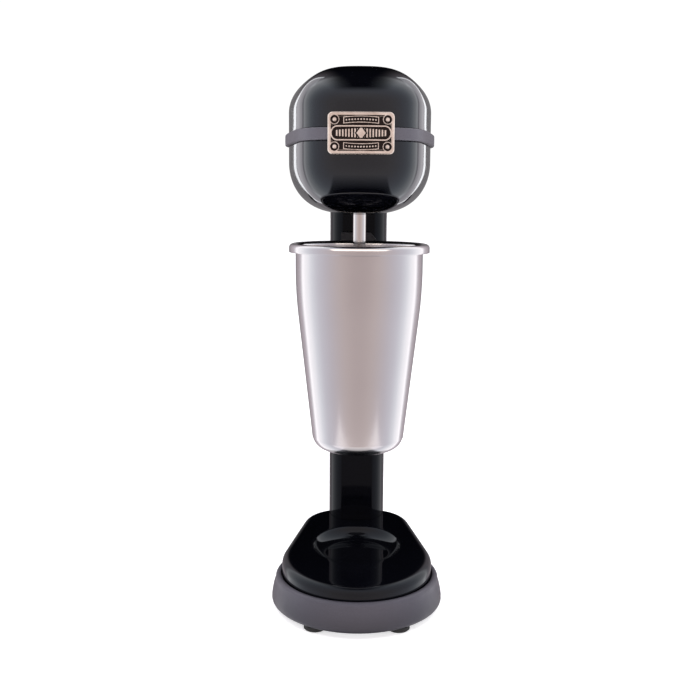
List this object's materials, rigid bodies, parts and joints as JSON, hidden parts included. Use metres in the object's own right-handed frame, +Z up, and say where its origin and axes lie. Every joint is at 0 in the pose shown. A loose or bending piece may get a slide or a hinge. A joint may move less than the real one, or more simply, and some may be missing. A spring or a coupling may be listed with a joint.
{
  "type": "milkshake mixer",
  "caption": "Countertop milkshake mixer: weighted oval base, upright column, rounded motor head with a downward spindle, and a hanging metal cup.",
  "frame": {"origin": "on the table under the middle of the base's plan", "axes": "+Z up, -Y to the front where the nameplate is, +X to the right seen from the front"},
  "size_m": [0.1404, 0.1764, 0.437],
  "materials": {
    "gloss_black_enamel": "gloss black enamel",
    "satin_grey": "satin grey paint",
    "antique_nickel": "aged nickel, cast relief",
    "zinc_steel": "zinc plated",
    "cast_aluminium": "as cast",
    "lamination_steel": "stacked laminations",
    "copper_winding": "enamelled copper",
    "bronze_bush": "sintered bronze",
    "carbon": "carbon block",
    "polished_steel": "polished",
    "cup_steel": "polished stainless steel",
    "black_plastic": "moulded",
    "black_rubber": "moulded",
    "lead_sheath": "soft sheath",
    "cast_iron": "as cast"
  },
  "bodies": {
    "root": {"head_upper_shell": "gloss_black_enamel", "head_lower_shell": "gloss_black_enamel", "trim_band": "satin_grey", "nameplate": "antique_nickel", "nameplate_rivets": "antique_nickel", "head_screws": "zinc_steel", "motor_chassis": "cast_aluminium", "lower_bearing": "bronze_bush", "stator_core": "lamination_steel", "field_coils": "copper_winding", "upper_motor_bracket": "cast_aluminium", "upper_bearing": "bronze_bush", "motor_screws": "zinc_steel", "brush_holders": "bronze_bush", "carbon_brushes": "carbon", "spindle_bush": "black_plastic", "column": "gloss_black_enamel", "column_foot": "zinc_steel", "column_bolts": "zinc_steel", "cup_bracket": "black_plastic", "bracket_screws": "zinc_steel", "microswitch": "black_plastic", "bumper_arm": "black_plastic", "bumper_pad": "black_rubber", "bumper_screws": "zinc_steel", "speed_switch_body": "black_plastic", "rocker_pin": "zinc_steel", "base_cover": "gloss_black_enamel", "base_skirt": "satin_grey", "base_plate": "zinc_steel", "base_screws": "zinc_steel", "ballast": "cast_iron", "rubber_feet": "black_rubber", "cord_gland": "black_rubber", "internal_lead": "lead_sheath", "terminal_block": "black_plastic"},
    "rotor": {"motor_shaft": "polished_steel", "armature_core": "lamination_steel", "armature_windings": "copper_winding", "commutator": "copper_winding", "cooling_fan": "black_plastic", "spindle_coupling": "polished_steel", "spindle": "polished_steel", "agitator": "polished_steel", "agitator_nut": "polished_steel"},
    "cup": {"mixing_cup": "cup_steel"},
    "plunger": {"switch_plunger": "polished_steel"},
    "rocker": {"speed_rocker": "black_plastic"}
  },
  "joints": [
    {"name": "spindle_spin", "type": "hinge", "parent": "root", "child": "rotor", "pos_m": [0, -0.018, 0.3], "axis": [0, 0, 1], "continuous": true},
    {"name": "cup_lift", "type": "slide", "parent": "root", "child": "cup", "axis": [0, 0, 1], "range_m": [0, 0.012]},
    {"name": "cup_switch", "type": "slide", "parent": "root", "child": "plunger", "axis": [0, 0, 1], "range_m": [0, 0.003]},
    {"name": "speed_rocker_tilt", "type": "hinge", "parent": "root", "child": "rocker", "pos_m": [0, 0.077, 0.296], "axis": [1, 0, 0], "range_deg": [-10, 10]}
  ],
  "couplings": [
    {"joint": "cup_switch", "follows": "cup_lift", "ratio": 0.25}
  ]
}
